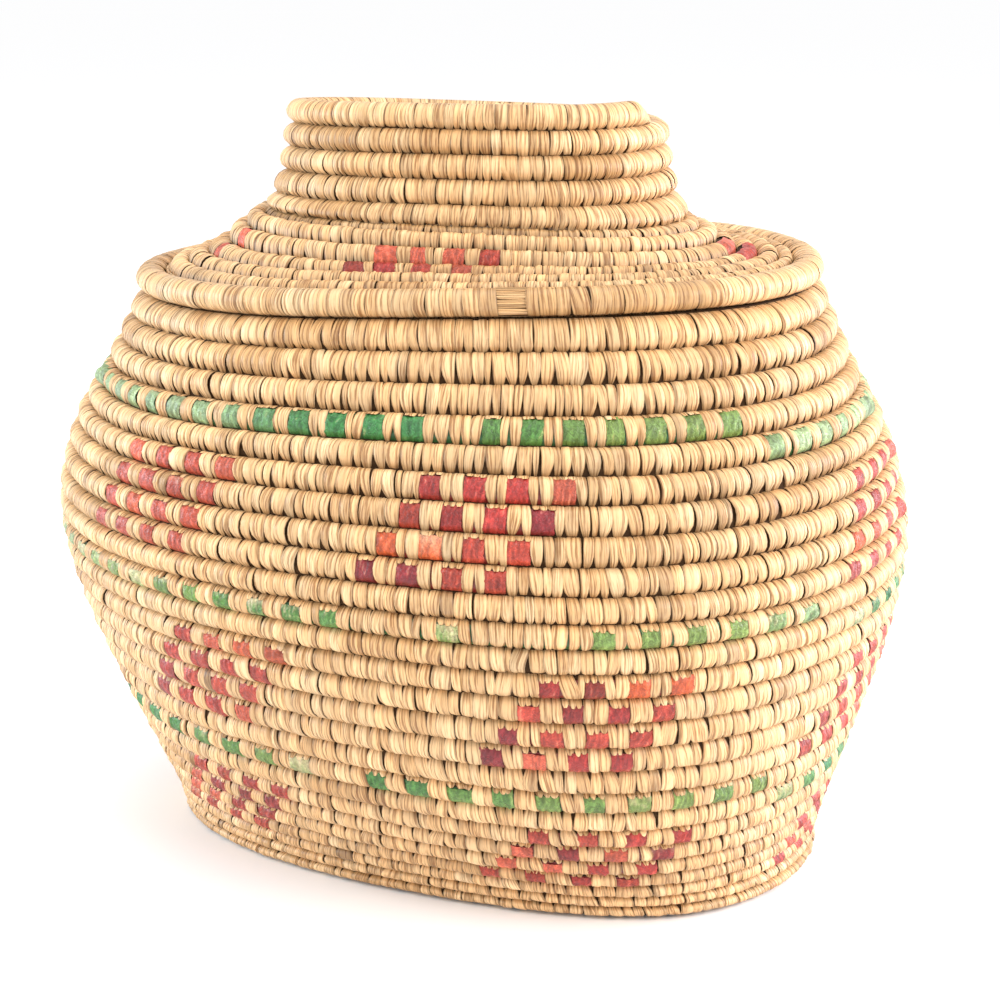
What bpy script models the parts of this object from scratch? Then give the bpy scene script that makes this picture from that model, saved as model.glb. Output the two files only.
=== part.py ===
"""A lidded oval basket of coiled grass with strips of dyed gut, modelled as it is sewn.

The base and the wall are one bundle of grass coiled upwards, each row sewn to the row below. The lid is
a coiled disc with a thick rim, an inner flange that drops into the mouth, and an open collar that ends in
a tapered tip. Strips of dyed gut lie along single rows. Metres, +Z up, +X along the oval.
"""

import math

import bmesh
import bpy
from mathutils import Vector

MM = 0.001

# Body, measured at the grooves between rows
BODY_ROWS = 26
BELLY_ROW = 17
BODY_HEIGHT = 170.0 * MM
BELLY_HEIGHT = 107.0 * MM
FOOT_HALF_LENGTH = 99.0 * MM
BELLY_HALF_LENGTH = 125.3 * MM
MOUTH_HALF_LENGTH = 98.0 * MM

# Half-length less half-width, at the foot, halfway up and at the mouth
FOOT_OVAL = 40.0 * MM
MIDDLE_OVAL = 23.0 * MM
MOUTH_OVAL = 24.0 * MM
COLLAR_OVAL = 17.5 * MM

# Handmade drift of the oval: its turn in degrees, its lean and its shift. The mouth's right end bends to
# the front, and its back dips
FOOT_TURN = -20.0
MIDDLE_TURN = -21.0
MOUTH_TURN = -8.0
FOOT_BOXINESS = 1.8
MOUTH_BOXINESS = 4.4
EGG = 0.08
MOUTH_BEND = 13.0 * MM
MOUTH_DIP = 3.0 * MM
MOUTH_HALF_WIDTH = 75.0 * MM
MIDDLE_LEAN = -0.015
MOUTH_LEAN = 0.037
COLLAR_LEAN = -0.015
FOOT_SHIFT_X = 1.9 * MM
FOOT_SHIFT_Y = -2.3 * MM
MIDDLE_SHIFT_X = -1.8 * MM
MIDDLE_SHIFT_Y = -0.7 * MM
MOUTH_SHIFT_X = -2.0 * MM
MOUTH_SHIFT_Y = 3.0 * MM

# Coil
COIL_THICKNESS = 7.5 * MM
GROOVE_DEPTH = 2.2 * MM
SEAT_GAP = 0.3 * MM
COLUMNS = 40
FLAT_END_ROWS = 2.0
SHARP_ANGLE = 35.0

# Base disc
BASE_ROWS = 7
BASE_THICKNESS = 6.5 * MM
START_BUNDLE_RADIUS = 3.8 * MM

# Lid disc, from its floor out to the rim, placed from the body's mouth
FLOOR_ROWS = 5
SHOULDER_ROWS = 5
FLOOR_RISE = 20.0 * MM
FLOOR_HEIGHT = BODY_HEIGHT + FLOOR_RISE
SHOULDER_EDGE_RISE = 7.6 * MM
SHOULDER_EDGE_HEIGHT = BODY_HEIGHT + SHOULDER_EDGE_RISE
SHOULDER_EDGE_INSET = 5.6 * MM
SHOULDER_HALF_LENGTH = MOUTH_HALF_LENGTH - SHOULDER_EDGE_INSET
SHOULDER_RUN = 28.4 * MM
FLOOR_HALF_LENGTH = SHOULDER_HALF_LENGTH - SHOULDER_RUN
LEAN_FADE = 27.0 * MM
LID_THICKNESS = 6.0 * MM

# Lid rim
RIM_OVERHANG = 2.4 * MM
RIM_HALF_LENGTH = MOUTH_HALF_LENGTH + RIM_OVERHANG
RIM_FOOT_WIDTH = 5.6 * MM
RIM_LOW_INSET = 0.6 * MM
RIM_HIGH_INSET = 1.4 * MM

# Lid flange
FLANGE_ROWS = 2
FLANGE_DEPTH = 14.0 * MM
FLANGE_CLEARANCE = 1.2 * MM

# Collar
COLLAR_ROWS = 5
COLLAR_INSET = 6.6 * MM
COLLAR_FOOT_HALF_LENGTH = FLOOR_HALF_LENGTH - COLLAR_INSET
COLLAR_NARROWING = 5.8 * MM
COLLAR_TOP_HALF_LENGTH = COLLAR_FOOT_HALF_LENGTH - COLLAR_NARROWING
COLLAR_FLARE = 4.2 * MM
COLLAR_FLARE_ROWS = 1.5
COLLAR_ROW_HEIGHT = 6.68 * MM
COLLAR_END_ANGLE = 345.0
COLLAR_TAPER = 0.04

# Gut strips, each laid along one row of the wall's coil. A band goes once round from a row and angle,
# and a motif is four strips, one below the other, around the row and angle of its top strip's middle,
# each set back by the ring's slant in degrees
GUT_THICKNESS = 0.5 * MM
GUT_LIFT = 0.35 * MM
GUT_WIDTH_SHARE = 0.7
STRIP_LENGTH = 40.0 * MM
MOTIF_STRIPS = 4
MOTIF_SLANTS = {"upper": 1.2, "middle": 2.4}
BAND_TURN = 357.0
BAND_STARTS = {"upper": (21, 321), "middle": (14, 338), "lower": (7, 336)}
MOTIF_MIDDLES = {
    "upper": [(20, 246), (20, 281), (19, 352), (19, 409), (20, 105), (20, 174)],
    "middle": [(13, 258), (13, 301), (12, 356), (12, 423), (13, 111), (13, 184)],
}

FULL_TURN = 360.0
FRONT = 270.0
BACK = 90.0

STRAW = (0.72, 0.50, 0.26)
STRAW_DARK = (0.62, 0.41, 0.20)
GREEN_GUT = (0.10, 0.26, 0.13)
RED_GUT = (0.55, 0.08, 0.07)


def mix(low, high, share):
    return low + (high - low) * share


def smooth_curve(stations, row):
    """A smooth (half-length, height) at a row, through stations of (row, half-length, height)."""
    rows = [station[0] for station in stations]
    steps = [later - earlier for earlier, later in zip(rows, rows[1:])]
    row = min(max(row, rows[0]), rows[-1])
    piece = max(i for i in range(len(steps)) if rows[i] <= row or i == 0)
    share = (row - rows[piece]) / steps[piece]
    result = []
    for axis in (1, 2):
        values = [station[axis] for station in stations]
        slopes = [(b - a) / step for a, b, step in zip(values, values[1:], steps)]
        inner = [
            (steps[i] * slopes[i - 1] + steps[i - 1] * slopes[i]) / (steps[i] + steps[i - 1])
            for i in range(1, len(steps))
        ]
        first = 1.5 * slopes[0] - 0.5 * inner[0]
        last = 1.5 * slopes[-1] - 0.5 * inner[-1]
        tangents = [first] + inner + [last]
        low, high = values[piece], values[piece + 1]
        rise_low = tangents[piece] * steps[piece]
        rise_high = tangents[piece + 1] * steps[piece]
        result.append(
            (2 * share**3 - 3 * share**2 + 1) * low
            + (share**3 - 2 * share**2 + share) * rise_low
            + (3 * share**2 - 2 * share**3) * high
            + (share**3 - share**2) * rise_high
        )
    return result[0], result[1]


def offset(curve, row, depth):
    """The (half-length, height) at a row, moved out from the curve by depth, square to it."""
    step = 0.05
    half_length, height = curve(row)
    before, after = curve(row - step), curve(row + step)
    along = (after[0] - before[0], after[1] - before[1])
    size = math.hypot(*along)
    return half_length + depth * along[1] / size, height - depth * along[0] / size


def wall_curve(row):
    """The body's outline at the grooves, rounded in at the foot, full at the belly, drawn in to the mouth."""
    foot, belly, mouth = FOOT_HALF_LENGTH, BELLY_HALF_LENGTH, MOUTH_HALF_LENGTH
    upper_rows = BODY_ROWS - BELLY_ROW
    lower = [(0.12, 0.02, 0.077), (0.3, 0.2, 0.22), (0.53, 0.545, 0.456), (0.765, 0.91, 0.743)]
    upper = [(0.33, 0.22, 0.335), (0.67, 0.62, 0.652)]
    stations = [(0, foot, 0.0)]
    for row_share, out_share, up_share in lower:
        stations.append((BELLY_ROW * row_share, mix(foot, belly, out_share), BELLY_HEIGHT * up_share))
    stations.append((BELLY_ROW, belly, BELLY_HEIGHT))
    for row_share, in_share, up_share in upper:
        station = BELLY_ROW + upper_rows * row_share
        stations.append((station, mix(belly, mouth, in_share), mix(BELLY_HEIGHT, BODY_HEIGHT, up_share)))
    stations.append((BODY_ROWS, mouth, BODY_HEIGHT))
    return smooth_curve(stations, row)


def drift(foot, middle, mouth, level):
    """A value that passes smoothly from the foot's, through the middle's, to the mouth's."""
    near = 1 - abs(1 - 2 * level)
    end = foot if level < 0.5 else mouth
    return mix(end, middle, near) + (near**3 - near) * (foot - 2 * middle + mouth) / 4


def oval_at(level):
    return drift(FOOT_OVAL, MIDDLE_OVAL, MOUTH_OVAL, level)


def oval_point(half_length, height, angle, level, oval, lean):
    """A point on one ring of the basket. Level runs from 0 at the foot to 1 at the mouth."""
    half_width = half_length - oval
    cos, sin = math.cos(math.radians(angle)), math.sin(math.radians(angle))
    boxiness = FOOT_BOXINESS * (MOUTH_BOXINESS / FOOT_BOXINESS) ** level
    x = oval * math.tanh(boxiness * cos) / math.tanh(boxiness) + half_width * cos
    bend = MOUTH_BEND * level**6 * max(half_length * cos / MOUTH_HALF_LENGTH, 0.0) ** 3
    dip = MOUTH_DIP * level**3 * (1 + half_width * sin / MOUTH_HALF_WIDTH) / 2
    y = half_width * sin * (1 + EGG * cos) - bend
    turn = math.radians(drift(FOOT_TURN, MIDDLE_TURN, MOUTH_TURN, level))
    shift_x = drift(FOOT_SHIFT_X, MIDDLE_SHIFT_X, MOUTH_SHIFT_X, level)
    shift_y = drift(FOOT_SHIFT_Y, MIDDLE_SHIFT_Y, MOUTH_SHIFT_Y, level)
    x, y = x * math.cos(turn) - y * math.sin(turn), x * math.sin(turn) + y * math.cos(turn)
    return Vector((x + shift_x, y + shift_y, height + lean * x - dip))


def wall_offset(row, depth):
    """Like offset, but level at the foot and at the mouth, which are cut flat."""
    half_length, height = wall_curve(row)
    square = offset(wall_curve, row, depth)
    share = min(max(min(row, BODY_ROWS - row) / FLAT_END_ROWS, 0.0), 1.0)
    return mix(half_length + depth, square[0], share), mix(height, square[1], share)


def wall_point(row, depth, angle):
    half_length, height = wall_offset(row, depth)
    level = min(max(row / BODY_ROWS, 0.0), 1.0)
    lean = drift(0.0, MIDDLE_LEAN, MOUTH_LEAN, level)
    return oval_point(half_length, height, angle, level, oval_at(level), lean)


def flange_outer():
    return MOUTH_HALF_LENGTH + GROOVE_DEPTH - COIL_THICKNESS - FLANGE_CLEARANCE


def lid_point(half_length, height, angle):
    """A point of the lid. Its oval and its lean fade, inside the rim, from the mouth's to the collar's."""
    start = flange_outer() - 1.2 * COIL_THICKNESS
    share = (start - half_length) / (start - COLLAR_FOOT_HALF_LENGTH)
    oval = mix(MOUTH_OVAL, COLLAR_OVAL, min(max(share, 0.0), 1.0))
    share = (SHOULDER_HALF_LENGTH - half_length) / LEAN_FADE
    lean = mix(MOUTH_LEAN, COLLAR_LEAN, min(max(share, 0.0), 1.0))
    return oval_point(half_length, height, angle, 1.0, oval, lean)


def wall_rise(angle, row):
    """How far the coil has climbed, in rows, level to the mouth's lean in the upper rows."""
    climb = (angle - FRONT) / FULL_TURN
    return climb - 0.25 * math.cos(math.radians(angle)) * (row / BODY_ROWS) ** 2


def wall_grooves(angle):
    grooves = [row + wall_rise(angle, row) for row in range(-1, BODY_ROWS + 2)]
    return [min(max(groove, 0.0), float(BODY_ROWS)) for groove in grooves]


def disc_grooves(rows):
    def grooves(angle):
        climb = (angle - FRONT) / FULL_TURN
        return [min(max(row + climb, 0.0), float(rows)) for row in range(-1, rows + 2)]

    return grooves


def collar_grooves(angle):
    """The collar's coil climbs all the way, and its last row tapers to the tip."""
    climb = (angle - COLLAR_END_ANGLE) / FULL_TURN + 1
    full = COLLAR_ROWS - 1
    top = full + min(climb, (1 - climb) / COLLAR_TAPER)
    return [min(max(row + climb, 0.0), top) for row in range(-1, COLLAR_ROWS)]


def ridged_face(grooves, groove_depth, crest_depth):
    """(row, depth) points up one face of a coil: a groove, a crest, a groove and so on."""
    points = []
    for low, high in zip(grooves, grooves[1:]):
        fullness = math.sqrt(max(high - low, 0.0))
        points.append((low, groove_depth))
        points.append(((low + high) / 2, mix(groove_depth, crest_depth, min(fullness, 1.0))))
    points.append((grooves[-1], groove_depth))
    return points


def even_face(grooves, depth):
    """(row, depth) points up a plain face, one for each row."""
    middles = [(low + high) / 2 for low, high in zip(grooves, grooves[1:])]
    return [(row, depth) for row in [grooves[0]] + middles + [grooves[-1]]]


def coiled_solid(name, place, sections, first_angle, material, capped=False):
    """Joins a section's points from column to column, one whole turn round the basket.

    Sections gives the (row, depth) points at an angle, and place turns one into a point in space. The
    coil climbs a row in each turn, so the last column's points meet the first column's, one row on, and
    the doubles merge there. A capped solid is a disc, closed across its middle at both ends of a section.
    """
    mesh = bmesh.new()
    columns = []
    for column in range(COLUMNS + 1):
        angle = first_angle + FULL_TURN * column / COLUMNS
        columns.append([mesh.verts.new(place(row, depth, angle)) for row, depth in sections(angle)])
    count = len(columns[0])
    spans = count - 1 if capped else count
    for this, following in zip(columns, columns[1:]):
        for i in range(spans):
            j = (i + 1) % count
            mesh.faces.new((this[i], following[i], following[j], this[j]))
    if capped:
        mesh.faces.new([column[0] for column in reversed(columns[:-1])])
        mesh.faces.new([column[-1] for column in columns[:-1]])
    bmesh.ops.remove_doubles(mesh, verts=mesh.verts, dist=1e-7)
    bmesh.ops.dissolve_degenerate(mesh, edges=mesh.edges, dist=1e-7)
    return add_part(name, mesh, material)


def add_part(name, mesh, material):
    bmesh.ops.recalc_face_normals(mesh, faces=mesh.faces)
    data = bpy.data.meshes.new(name)
    mesh.to_mesh(data)
    mesh.free()
    data.materials.append(material)
    data.shade_smooth()
    data.set_sharp_from_angle(angle=math.radians(SHARP_ANGLE))
    part = bpy.data.objects.new(name, data)
    basket.objects.link(part)
    return part


def make_material(name, colour, roughness):
    material = bpy.data.materials.new(name)
    material.use_nodes = True
    shader = material.node_tree.nodes["Principled BSDF"]
    shader.inputs["Base Color"].default_value = (*colour, 1.0)
    shader.inputs["Roughness"].default_value = roughness
    shader.inputs["Metallic"].default_value = 0.0
    return material


def make_wall():
    """The wall's coil: ridged outside, plain inside, flat at the foot and at the mouth."""
    inner = GROOVE_DEPTH - COIL_THICKNESS

    def sections(angle):
        grooves = wall_grooves(angle)
        return ridged_face(grooves, 0.0, GROOVE_DEPTH) + even_face(grooves, inner)[::-1]

    return coiled_solid("wall_coil", wall_point, sections, BACK, straw)


def wall_inside(height):
    """(half-length, row) of the wall's inner face at a height near the foot."""
    inner = GROOVE_DEPTH - COIL_THICKNESS - SEAT_GAP
    row, step = 0.0, 0.02
    while wall_offset(row, inner)[1] < height and row < BELLY_ROW:
        row += step
    return wall_offset(row, inner)[0], row


def make_base():
    """The base's spiral, started from a straight bundle, inside the foot of the wall."""

    def place(row, depth, angle):
        height = BASE_THICKNESS + depth
        edge, wall_row = wall_inside(height)
        level = wall_row / BODY_ROWS
        oval = oval_at(level)
        start = oval + START_BUNDLE_RADIUS
        half_length = mix(start, edge, row / BASE_ROWS)
        return oval_point(half_length, height, angle, level, oval, 0.0)

    def sections(angle):
        top = ridged_face(disc_grooves(BASE_ROWS)(angle), -GROOVE_DEPTH / 2, 0.0)
        return top + [(BASE_ROWS, -BASE_THICKNESS), (0, -BASE_THICKNESS)]

    return coiled_solid("base_coil", place, sections, BACK, straw_dark, capped=True)


def shoulder_curve(row):
    """The lid's outline: a level floor, a steep slope below the collar, then a gentler one to the rim."""
    start, edge = COLLAR_OVAL + START_BUNDLE_RADIUS, FLOOR_HALF_LENGTH
    level = mix(start, edge, (FLOOR_ROWS - 1) / FLOOR_ROWS)
    stations = [(0, start, FLOOR_HEIGHT), (FLOOR_ROWS - 1, level, FLOOR_HEIGHT)]
    slope = [(0.0, 0.0, 0.03), (0.2, 0.207, 0.30), (0.4, 0.387, 0.62), (0.6, 0.594, 0.774), (0.8, 0.8, 0.887)]
    for row_share, out_share, down_share in slope + [(1.0, 1.0, 1.0)]:
        half_length = mix(edge, SHOULDER_HALF_LENGTH, out_share)
        height = mix(FLOOR_HEIGHT, SHOULDER_EDGE_HEIGHT, down_share)
        stations.append((FLOOR_ROWS + SHOULDER_ROWS * row_share, half_length, height))
    return smooth_curve(stations, row)


def disc_offset(row, depth):
    """Like offset, for a curve that runs outwards, so that its outer face is the upper one."""
    return offset(shoulder_curve, row, -depth)


def make_lid_disc():
    """The lid's floor and sloping shoulder, one spiral from its middle out to the rim."""
    rows = FLOOR_ROWS + SHOULDER_ROWS
    grooves_at = disc_grooves(rows)

    def place(row, depth, angle):
        half_length, height = disc_offset(row, depth)
        return lid_point(half_length, height, angle)

    def sections(angle):
        grooves = grooves_at(angle)
        upper = ridged_face(grooves, -GROOVE_DEPTH, 0.0)
        return upper + even_face(grooves, -LID_THICKNESS)[::-1]

    return coiled_solid("lid_disc_coil", place, sections, BACK, straw, capped=True)


def ring_sections(outline):
    """A plain ring's section, the same at each angle."""
    return lambda angle: outline


def make_rim():
    """The lid's thick rim coil, cut flat where it rests on the mouth."""
    edge_low = disc_offset(FLOOR_ROWS + SHOULDER_ROWS, -LID_THICKNESS)
    edge_high = disc_offset(FLOOR_ROWS + SHOULDER_ROWS, -GROOVE_DEPTH)
    foot = BODY_HEIGHT + SEAT_GAP
    inside = edge_low[0] + SEAT_GAP
    tall = edge_high[1] + GROOVE_DEPTH - foot
    outer = RIM_HALF_LENGTH
    outline = [
        (inside, foot),
        (inside + RIM_FOOT_WIDTH, foot),
        (outer - RIM_LOW_INSET, foot + 0.25 * tall),
        (outer, foot + 0.5 * tall),
        (outer - RIM_HIGH_INSET, foot + 0.8 * tall),
        (mix(inside, outer, 0.5), foot + tall),
        (edge_high[0] + SEAT_GAP, edge_high[1]),
    ]
    return coiled_solid("lid_rim_coil", lid_point, ring_sections(outline), BACK, straw)


def lid_underside(half_length):
    """The height of the lid disc's lower face at a half-length of its shoulder."""
    row = float(FLOOR_ROWS + SHOULDER_ROWS)
    while disc_offset(row, -LID_THICKNESS)[0] > half_length:
        row -= 0.02
    return disc_offset(row, -LID_THICKNESS)[1]


def make_flange():
    """The two rows under the lid that drop into the mouth and keep the lid in place."""
    outer = flange_outer()
    inner = outer - COIL_THICKNESS
    row_height = FLANGE_DEPTH / FLANGE_ROWS
    top = lid_underside(outer) - SEAT_GAP
    outline = []
    for row in range(FLANGE_ROWS):
        high = top - row * row_height
        outline.append((outer - GROOVE_DEPTH / 2, high))
        outline.append((outer, high - row_height / 2))
    outline.append((outer - GROOVE_DEPTH / 2, top - FLANGE_DEPTH))
    for row in reversed(range(FLANGE_ROWS)):
        low = top - (row + 1) * row_height
        outline.append((inner + GROOVE_DEPTH / 2, low))
        outline.append((inner, low + row_height / 2))
    inner_top = inner + GROOVE_DEPTH / 2
    outline.append((inner_top, lid_underside(inner_top) - SEAT_GAP))
    return coiled_solid("lid_flange_coil", lid_point, ring_sections(outline), BACK, straw_dark)


def make_collar():
    """The open collar sewn on the lid, ridged on both faces, with its coil's tip at the right front."""
    foot = FLOOR_HEIGHT + SEAT_GAP
    inner_crest = GROOVE_DEPTH - COIL_THICKNESS
    inner_groove = inner_crest + GROOVE_DEPTH

    def curve(row):
        flare = COLLAR_FLARE * max(1 - row / COLLAR_FLARE_ROWS, 0.0) ** 2
        half_length = mix(COLLAR_FOOT_HALF_LENGTH, COLLAR_TOP_HALF_LENGTH, row / COLLAR_ROWS) + flare
        return half_length, foot + row * COLLAR_ROW_HEIGHT

    def place(row, depth, angle):
        half_length, height = curve(row)
        return lid_point(half_length + depth, height, angle)

    def sections(angle):
        grooves = collar_grooves(angle)
        outer = ridged_face(grooves, 0.0, GROOVE_DEPTH)
        inner = ridged_face(grooves, inner_groove, inner_crest)[::-1]
        return outer + inner

    return coiled_solid("collar_coil", place, sections, COLLAR_END_ANGLE - FULL_TURN, straw)


def coil_angle(row, angle):
    """Degrees wound along the wall's coil since the foot, for a row and an angle from the back round."""
    return FULL_TURN * row + angle - BACK


def row_section(wound):
    """The lower groove, crest and upper groove of the wall's coil, where a column of its faces lies."""
    row = int(wound // FULL_TURN)
    angle = BACK + wound - FULL_TURN * row
    low, high = row + wall_rise(angle, row), row + 1 + wall_rise(angle, row + 1)
    return [
        wall_point(low, 0.0, angle),
        wall_point((low + high) / 2, GROOVE_DEPTH, angle),
        wall_point(high, 0.0, angle),
    ]


def faceted_section(wound):
    """Like row_section anywhere along the coil, on the flat faces between two columns."""
    step = FULL_TURN / COLUMNS
    column = math.floor(wound / step)
    share = wound / step - column
    before = row_section(column * step)
    if share < 1e-6:
        return before
    after = row_section((column + 1) * step)
    return [a.lerp(b, share) for a, b in zip(before, after)]


def wind(wound, length):
    """Goes a length along the coil's crest, forwards or, if it's negative, backwards."""
    step = math.copysign(1.0, length)
    left = abs(length)
    here = faceted_section(wound)[1]
    while True:
        there = faceted_section(wound + step)[1]
        run = (there - here).length
        if run >= left:
            return wound + step * left / run
        wound, here, left = wound + step, there, left - run


def make_strip(name, start, end, material):
    """A strip of gut bent over one row of the coil, from one coil angle to another."""
    step = FULL_TURN / COLUMNS
    between = range(math.floor(start / step) + 1, math.ceil(end / step))
    mesh = bmesh.new()
    rings = []
    for wound in [start] + [column * step for column in between] + [end]:
        low, crest, high = faceted_section(wound)
        outward = (crest - low.lerp(high, 0.5)).normalized()
        line = [crest.lerp(low, GUT_WIDTH_SHARE), crest, crest.lerp(high, GUT_WIDTH_SHARE)]
        under = [point + outward * GUT_LIFT for point in line]
        over = [point + outward * (GUT_LIFT + GUT_THICKNESS) for point in line]
        rings.append([mesh.verts.new(point) for point in under + over[::-1]])
    for this, following in zip(rings, rings[1:]):
        for i in range(6):
            j = (i + 1) % 6
            mesh.faces.new((this[i], following[i], following[j], this[j]))
    for ring in (rings[0], rings[-1]):
        mesh.faces.new((ring[0], ring[1], ring[4], ring[5]))
        mesh.faces.new((ring[1], ring[2], ring[3], ring[4]))
    return add_part(name, mesh, material)


def make_bands():
    for place, (row, angle) in BAND_STARTS.items():
        start = coil_angle(row, angle)
        make_strip(f"gut_band_{place}", start, start + BAND_TURN, green_gut)


def make_motifs():
    for ring, middles in MOTIF_MIDDLES.items():
        for number, (row, angle) in enumerate(middles, start=1):
            for strip in range(MOTIF_STRIPS):
                middle = coil_angle(row - strip, angle - strip * MOTIF_SLANTS[ring])
                start, end = wind(middle, -STRIP_LENGTH / 2), wind(middle, STRIP_LENGTH / 2)
                make_strip(f"gut_{ring}_{number}_strip_{strip + 1}", start, end, red_gut)


def centre_on_origin():
    """Moves the whole basket so that its box is centred on the vertical axis."""
    points = [vertex.co for part in basket.objects for vertex in part.data.vertices]
    middle_x = (min(point.x for point in points) + max(point.x for point in points)) / 2
    middle_y = (min(point.y for point in points) + max(point.y for point in points)) / 2
    for part in basket.objects:
        part.location = (-middle_x, -middle_y, 0.0)


for old in list(bpy.data.objects):
    bpy.data.objects.remove(old, do_unlink=True)

basket = bpy.data.collections.new("grass_basket")
bpy.context.scene.collection.children.link(basket)

straw = make_material("straw_coil", STRAW, 0.62)
straw_dark = make_material("straw_coil_hidden", STRAW_DARK, 0.68)
green_gut = make_material("green_gut", GREEN_GUT, 0.45)
red_gut = make_material("red_gut", RED_GUT, 0.45)

make_wall()
make_base()
make_lid_disc()
make_rim()
make_flange()
make_collar()
make_bands()
make_motifs()
centre_on_origin()
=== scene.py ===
"""Looks of the coiled grass basket: its stitches, its squares of dyed gut and its loose ends.

The stitches are laid along the same climbing coils as the solids'. Metres, +Z up, +X to the right.
"""

import math

import bmesh
import bpy
import numpy as np
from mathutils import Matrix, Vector


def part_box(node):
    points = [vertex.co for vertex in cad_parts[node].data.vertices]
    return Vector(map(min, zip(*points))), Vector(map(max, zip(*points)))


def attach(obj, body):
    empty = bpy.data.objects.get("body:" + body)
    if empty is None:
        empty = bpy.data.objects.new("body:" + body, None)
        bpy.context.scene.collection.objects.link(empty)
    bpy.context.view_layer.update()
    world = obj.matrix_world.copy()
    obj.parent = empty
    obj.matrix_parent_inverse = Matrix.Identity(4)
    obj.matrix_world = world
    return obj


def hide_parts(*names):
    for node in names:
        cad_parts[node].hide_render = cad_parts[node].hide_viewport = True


MM = 0.001
TURN = 360.0
FRONT = 270.0
BACK = 90.0

# The photo's camera, with its place given round the basket before that is centred
CAMERA_DISTANCE = 624.8 * MM
CAMERA_ELEVATION = 15.63
CAMERA_TARGET = (4.7 * MM, 0.0, 101.2 * MM)
CAMERA_LENS = 74.6

# Studio: the colour of its paper floor, which lies just below the basket
PAPER = (0.985, 0.985, 0.99, 1)
FLOOR_SIZE = 12.0
FLOOR_GAP = 0.2 * MM
LAMP_TARGET = (0, 0, 0.1)

# Body. It is an oval that turns, drifts, leans and gets boxier on its way up, and its mouth dips at the back
# and bends forward at the right end. A groove sways up and down once a turn
BODY_ROWS = 26
BELLY_ROW = 17
BODY_HEIGHT = 170.0 * MM
BELLY_HEIGHT = 107.0 * MM
FOOT_HALF_LENGTH = 99.0 * MM
BELLY_HALF_LENGTH = 125.3 * MM
MOUTH_HALF_LENGTH = 98.0 * MM
FLAT_END_ROWS = 2.0
FOOT_OVAL, MIDDLE_OVAL, MOUTH_OVAL, COLLAR_OVAL = 40.0 * MM, 23.0 * MM, 24.0 * MM, 17.5 * MM
FOOT_TURN, MIDDLE_TURN, MOUTH_TURN = -20.0, -21.0, -8.0
FOOT_BOXINESS, MOUTH_BOXINESS = 1.8, 4.4
EGG = 0.08
MOUTH_BEND = 13.0 * MM
MOUTH_DIP = 3.0 * MM
MOUTH_HALF_WIDTH = 75.0 * MM
MIDDLE_LEAN, MOUTH_LEAN, COLLAR_LEAN = -0.015, 0.037, -0.015
FOOT_SHIFT = (1.9 * MM, -2.3 * MM)
MIDDLE_SHIFT = (-1.8 * MM, -0.7 * MM)
MOUTH_SHIFT = (-2.0 * MM, 3.0 * MM)
GROOVE_SWAY = 0.25

# Coil. The crest is how far a row stands out from the grooves
COIL_THICKNESS = 7.5 * MM
CREST = 2.2 * MM
COIL_RADIUS = COIL_THICKNESS / 2
COIL_MIDDLE = CREST - COIL_RADIUS
SEAT_GAP = 0.3 * MM

# Core: the bundle lies this far under the stitches, and has ridge lines at these degrees round it
CORE_SHRINK = 0.95 * MM
CORE_PSI = (-72.0, -40.0, 0.0, 40.0, 72.0)

# Base
BASE_ROWS = 7
BASE_THICKNESS = 6.5 * MM
START_BUNDLE_RADIUS = 3.8 * MM

# Lid
FLOOR_ROWS = 5
SHOULDER_ROWS = 5
FLOOR_HEIGHT = 190.0 * MM
FLOOR_HALF_LENGTH = 64.0 * MM
SHOULDER_EDGE_HEIGHT = 177.6 * MM
SHOULDER_HALF_LENGTH = 92.4 * MM
LEAN_FADE = 27.0 * MM
LID_THICKNESS = 6.0 * MM
RIM_HALF_LENGTH = 100.4 * MM
RIM_HEIGHT = 7.5 * MM
RIM_RADIUS = 4.3 * MM
FLANGE_ROWS = 2
FLANGE_DEPTH = 14.0 * MM
FLANGE_CLEARANCE = 1.2 * MM
FLANGE_TOP = 171.5 * MM
COLLAR_ROWS = 5
COLLAR_FOOT_HALF_LENGTH = 57.4 * MM
COLLAR_TOP_HALF_LENGTH = 51.6 * MM
COLLAR_FLARE = 4.2 * MM
COLLAR_FLARE_ROWS = 1.5
COLLAR_ROW_HEIGHT = 6.68 * MM
COLLAR_END_ANGLE = 345.0
COLLAR_TAPER = 0.04

# Stitches. A row thinner than this share of a full one has none, one that starts past SHORT_START degrees
# round the bundle is a short end, and one that ends past WRAP_END wraps the row's top
THIN_ROW = 0.12
SHORT_START, WRAP_END = 30, 120
STITCH_WIDTH = 2.9 * MM
WRAP_WIDTH = 1.35 * STITCH_WIDTH
FOOT_STITCH_WIDENING = 1.3
WIDTH_SPREAD = 0.27
EDGE_DROP = 0.34 * MM
TAB_LIFT = 0.2 * MM
BUNDLE_OVERLAP = 0.6 * MM

# Slow waves in the straw's tone, and how long and how frequent runs of tan stitches are
TONE_WAVES = (19.0 * MM, 47.0 * MM, 113.0 * MM)
TAN_RUN = 7
TAN_SHARE = 0.09

# Gut squares, on the wall and on the lid, and how deep the gut lies under the stitches between them
SQUARE_WIDTH = 5.6 * MM
LID_SQUARE_WIDTH = 5.4 * MM
MOTIF_STRIPS = 4
MOTIF_SQUARES = 4
RIBBON_DEPTH = 0.72 * MM
RIBBON_STEP = 2.5 * MM
CRINKLE = 0.42 * MM

# Below this row squares reach further up their row, and the stitch ends above them start later
LOW_ROW = 11
LOW_SQUARE_TOP, SQUARE_TOP = 0.91, 0.84
LOW_TAB_START, TAB_START = 53, 42

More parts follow.
